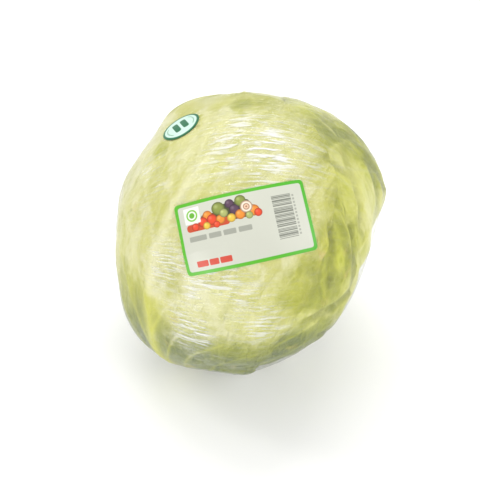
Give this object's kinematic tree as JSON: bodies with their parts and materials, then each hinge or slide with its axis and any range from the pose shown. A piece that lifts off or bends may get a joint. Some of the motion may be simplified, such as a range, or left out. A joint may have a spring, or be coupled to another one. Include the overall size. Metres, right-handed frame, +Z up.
{
  "type": "film-wrapped cabbage head",
  "caption": "Whole pale green cabbage head in clear stretch film, with a printed paper label and a small round sticker, resting on its stem end.",
  "frame": {"origin": "on the surface that the head stands on, under the middle of the head's outside box", "axes": "+Z up from the stem end to the crown; the label's middle looks towards -Y and upwards; +X is to the right of someone who reads the label"},
  "size_m": [0.1816, 0.194, 0.1841],
  "materials": {
    "heart": "waxy leaf, cream-green; leather stands in for plant tissue",
    "stem": "cut stem, cream-white and fibrous; leather stands in for plant tissue",
    "leaf_pale": "waxy leaf, pale cream-green with lighter veins",
    "leaf_green": "waxy leaf, yellow-green with paler veins",
    "film": "clear glossy stretch film with fine stretch creases",
    "label_paper": "printed satin paper label with a bright green border",
    "sticker_paper": "printed satin paper sticker with a dark green ring"
  },
  "bodies": {
    "root": {"heart": "heart", "cut_stem": "stem", "cover_leaf": "leaf_pale", "wrapper_leaf_front": "leaf_green", "wrapper_leaf_front_right": "leaf_green", "wrapper_leaf_right": "leaf_green", "wrapper_leaf_back_right": "leaf_green", "wrapper_leaf_back": "leaf_green", "wrapper_leaf_back_left": "leaf_green", "wrapper_leaf_left": "leaf_green", "stretch_film": "film", "paper_label": "label_paper", "round_sticker": "sticker_paper"}
  },
  "joints": []
}
